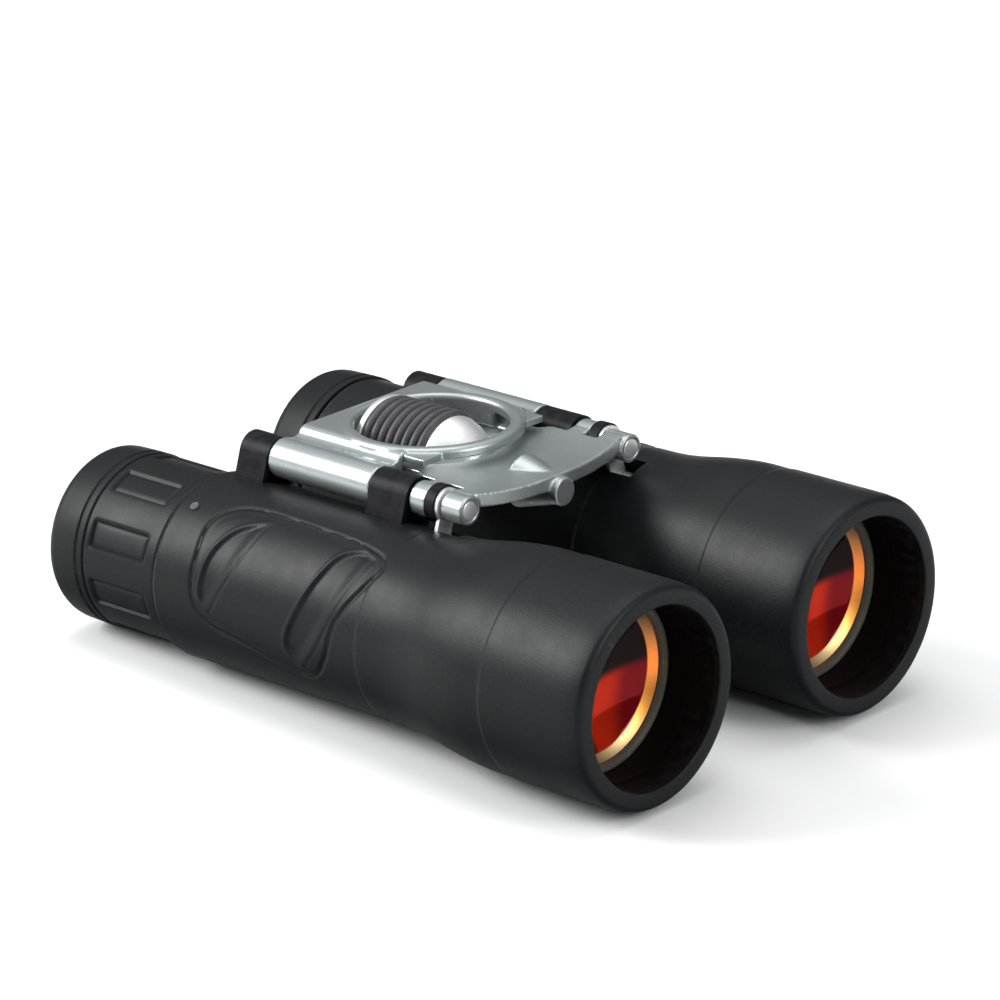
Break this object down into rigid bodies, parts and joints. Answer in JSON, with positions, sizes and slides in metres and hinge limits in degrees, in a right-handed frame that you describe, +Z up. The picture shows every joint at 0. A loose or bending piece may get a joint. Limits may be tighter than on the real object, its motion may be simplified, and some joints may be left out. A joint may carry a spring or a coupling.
{
  "type": "binoculars",
  "caption": "Compact roof-prism binoculars with rubber-armoured barrels, a double-hinge silver bridge, a ribbed focus wheel and a dioptre ring.",
  "frame": {"origin": "centre of the bounding box on the surface the binoculars stand on", "axes": "-Y towards the view (objectives), +Y towards the eyecups, +X to the left-eye barrel, +Z up; the optical axes drop 2.02 degrees towards +Y because the wide rims lift the front"},
  "size_m": [0.106, 0.1486, 0.0513],
  "materials": {
    "armour_rubber": "matt black rubber armour",
    "cup_rubber": "soft matt black rubber",
    "wheel_rubber": "ribbed grey-black rubber",
    "black_body": "matt black moulding",
    "black_metal": "blackened aluminium",
    "satin_silver": "satin silver enamel on die-cast alloy",
    "bright_steel": "ground steel",
    "brass": "turned brass",
    "ruby_glass": "optical glass with a ruby coating",
    "clear_glass": "optical glass",
    "index_white": "pale index mark"
  },
  "bodies": {
    "bridge": {"bridge_cover": "satin_silver", "bridge_base": "satin_silver", "base_screws": "bright_steel", "hinge_bushes": "brass", "hinge_washers": "black_metal", "screw_bearing": "brass"},
    "right_barrel": {"right_barrel_housing": "black_body", "right_rubber_armour": "armour_rubber", "right_prism_cage": "black_metal", "right_half_penta_prism": "clear_glass", "right_roof_prism": "clear_glass", "right_prism_clip": "bright_steel", "right_field_stop": "black_metal", "diopter_index": "index_white"},
    "left_barrel": {"left_barrel_housing": "black_body", "left_rubber_armour": "armour_rubber", "left_prism_cage": "black_metal", "left_half_penta_prism": "clear_glass", "left_roof_prism": "clear_glass", "left_prism_clip": "bright_steel", "left_field_stop": "black_metal", "left_ocular_cell": "black_metal", "left_field_lens": "clear_glass", "left_ocular_spacer": "black_metal", "left_eye_lens": "clear_glass", "left_ocular_ring": "black_metal", "left_eyepiece_sleeve": "armour_rubber", "left_eyecup": "cup_rubber"},
    "focus_wheel": {"wheel_hub": "bright_steel", "wheel_sleeve": "wheel_rubber", "focus_screw": "bright_steel"},
    "front_slider": {"slider_plate": "satin_silver", "focus_nut": "brass", "right_hinge_rod": "bright_steel", "left_hinge_rod": "bright_steel"},
    "right_carriage": {"right_objective_cell": "black_metal", "right_objective_ring": "black_metal", "right_crown_lens": "ruby_glass", "right_flint_lens": "clear_glass", "right_focus_arm": "bright_steel", "right_arm_collar": "black_body"},
    "left_carriage": {"left_objective_cell": "black_metal", "left_objective_ring": "black_metal", "left_crown_lens": "ruby_glass", "left_flint_lens": "clear_glass", "left_focus_arm": "bright_steel", "left_arm_collar": "black_body"},
    "diopter_ring": {"diopter_ring": "armour_rubber", "right_eyecup": "cup_rubber"},
    "right_eyepiece": {"right_ocular_cell": "black_metal", "right_field_lens": "clear_glass", "right_ocular_spacer": "black_metal", "right_eye_lens": "clear_glass", "right_ocular_ring": "black_metal"}
  },
  "joints": [
    {"name": "right_barrel_fold", "type": "hinge", "parent": "bridge", "child": "right_barrel", "pos_m": [-0.0233, 0.0172, 0.04293], "axis": [0, 0.9994, -0.0352], "range_deg": [-19.5, 15]},
    {"name": "left_barrel_fold", "type": "hinge", "parent": "bridge", "child": "left_barrel", "pos_m": [0.0233, 0.0172, 0.04293], "axis": [0, -0.9994, 0.0352], "range_deg": [-19.5, 15]},
    {"name": "focus_turn", "type": "hinge", "parent": "bridge", "child": "focus_wheel", "pos_m": [0, 0.01514, 0.0412], "axis": [0, 0.9994, -0.0352], "range_deg": [0, 450.5]},
    {"name": "front_plate_slide", "type": "slide", "parent": "bridge", "child": "front_slider", "axis": [0, -0.9994, 0.0352], "range_m": [0, 0.005]},
    {"name": "right_objective_slide", "type": "slide", "parent": "right_barrel", "child": "right_carriage", "axis": [0, -0.9994, 0.0352], "range_m": [0, 0.00502]},
    {"name": "left_objective_slide", "type": "slide", "parent": "left_barrel", "child": "left_carriage", "axis": [0, -0.9994, 0.0352], "range_m": [0, 0.00502]},
    {"name": "diopter_turn", "type": "hinge", "parent": "right_barrel", "child": "diopter_ring", "pos_m": [-0.0308, 0.05237, 0.01877], "axis": [0, 0.9994, -0.0352], "range_deg": [-60.2, 60.2]},
    {"name": "right_eyepiece_slide", "type": "slide", "parent": "right_barrel", "child": "right_eyepiece", "axis": [0, 0.9994, -0.0352], "range_m": [-0.0005, 0.0005]}
  ],
  "couplings": [
    {"joint": "focus_turn", "follows": "front_plate_slide", "rad_per_m": 1570.8},
    {"joint": "right_objective_slide", "follows": "front_plate_slide", "ratio": 1},
    {"joint": "left_objective_slide", "follows": "front_plate_slide", "ratio": 1},
    {"joint": "diopter_turn", "follows": "right_eyepiece_slide", "rad_per_m": 2094.4}
  ]
}
